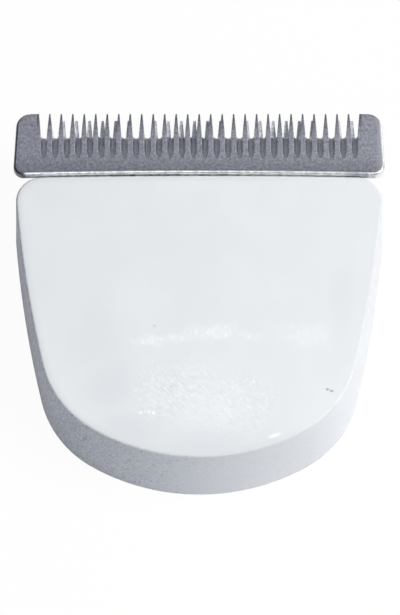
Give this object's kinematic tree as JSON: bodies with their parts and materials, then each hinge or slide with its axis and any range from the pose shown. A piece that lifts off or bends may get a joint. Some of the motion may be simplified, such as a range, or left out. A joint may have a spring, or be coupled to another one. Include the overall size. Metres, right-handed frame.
{
  "type": "hair clipper blade",
  "caption": "Clip-on clipper blade head: a hollow moulded housing carries a fixed steel comb, and a toothed cutter slides behind it, held by a wire spring and moved by a forked cam follower.",
  "frame": {"origin": "on the surface that the open back rests on, under the middle of the whole outline", "axes": "+X across the head along the row of teeth, +Y towards the tooth tips, +Z out of the front face"},
  "size_m": [0.0372, 0.0368, 0.0106],
  "materials": {
    "housing_plastic": "glossy white moulding with light scuffs",
    "blade_steel": "satin ground",
    "cutter_steel": "satin ground",
    "follower_plastic": "matte moulding",
    "spring_steel": "drawn wire",
    "screw_steel": "plated"
  },
  "bodies": {
    "head": {"housing": "housing_plastic", "comb_blade": "blade_steel", "tension_spring": "spring_steel", "blade_screws": "screw_steel"},
    "cutter": {"cutter_blade": "cutter_steel", "cam_follower": "follower_plastic"}
  },
  "joints": [
    {"name": "cutter_slide", "type": "slide", "parent": "head", "child": "cutter", "axis": [1, 0, 0], "range_m": [-0.00128, 0.00092]}
  ]
}
